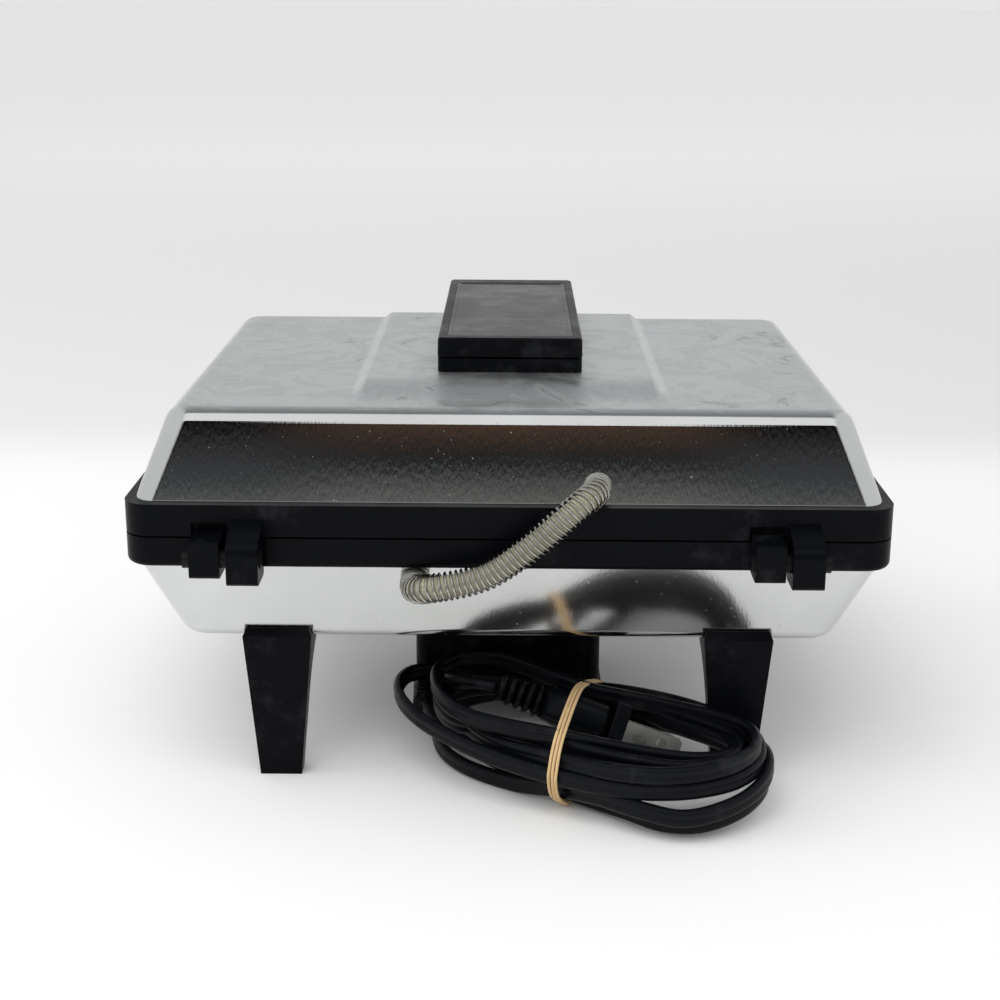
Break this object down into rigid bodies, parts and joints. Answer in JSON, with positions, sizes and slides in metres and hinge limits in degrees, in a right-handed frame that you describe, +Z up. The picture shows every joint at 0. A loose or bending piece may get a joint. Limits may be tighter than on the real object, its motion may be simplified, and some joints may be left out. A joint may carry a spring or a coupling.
{
  "type": "sandwich toaster",
  "caption": "Countertop sandwich toaster with chrome lid and base, black frame rings, hinged lid, tapered legs, armoured lead and a tied mains cord",
  "frame": {"origin": "middle of the toaster, on the table that its legs stand on; the cord and plug are left out of the middle", "axes": "+Z up from the table, +Y towards the hinges at the back, +X to the right for someone standing at the front"},
  "size_m": [0.216, 0.214, 0.123],
  "materials": {
    "chrome_sheet": "polished, smudged",
    "black_plastic": "satin moulded",
    "nonstick": "die cast, non-stick coating",
    "steel_screws": "plated",
    "heater_sheath": "heat darkened",
    "label_black": "bare inlay",
    "glass_sleeving": "woven sleeving",
    "ceramic": "unglazed",
    "steel_pin": "blackened",
    "armour_wire": "bright wire",
    "woven_glass": "woven sleeve",
    "cord_black": "flexible, satin",
    "plug_black": "moulded, satin",
    "blade_metal": "nickel plated",
    "tan_rubber": "old rubber band"
  },
  "bodies": {
    "base": {"base_shell": "chrome_sheet", "base_frame": "black_plastic", "base_plate": "nonstick", "base_plate_screws": "steel_screws", "base_heater": "heater_sheath", "base_heater_clips": "steel_screws", "thermostat": "ceramic", "hinge_pin_left": "steel_pin", "hinge_pin_right": "steel_pin", "rear_leg_left": "black_plastic", "rear_leg_right": "black_plastic", "front_leg_left": "black_plastic", "front_leg_right": "black_plastic", "leg_screws": "steel_screws", "wiring_box": "black_plastic", "wiring_cover": "black_plastic", "wiring_cover_screws": "steel_screws", "terminal_block": "ceramic", "armour_coil": "armour_wire", "woven_sleeve": "woven_glass", "base_bush": "black_plastic", "cord_relief": "cord_black", "cord_lead": "cord_black", "cord_hank": "cord_black", "plug_tail": "cord_black", "plug_body": "plug_black", "plug_blades": "blade_metal", "cord_tie": "tan_rubber"},
    "lid": {"lid_shell": "chrome_sheet", "lid_frame": "black_plastic", "lid_plate": "nonstick", "lid_plate_screws": "steel_screws", "lid_heater": "heater_sheath", "lid_heater_clips": "steel_screws", "handle_base": "black_plastic", "handle_cap": "black_plastic", "handle_label": "label_black", "handle_screws": "steel_screws", "thermal_fuse": "glass_sleeving", "lid_bush": "black_plastic"}
  },
  "joints": [
    {"name": "lid_hinge", "type": "hinge", "parent": "base", "child": "lid", "pos_m": [0, 0.0865, 0.0717], "axis": [-1, 0, 0], "range_deg": [0, 100], "deforming": ["armour_coil", "woven_sleeve"]}
  ]
}
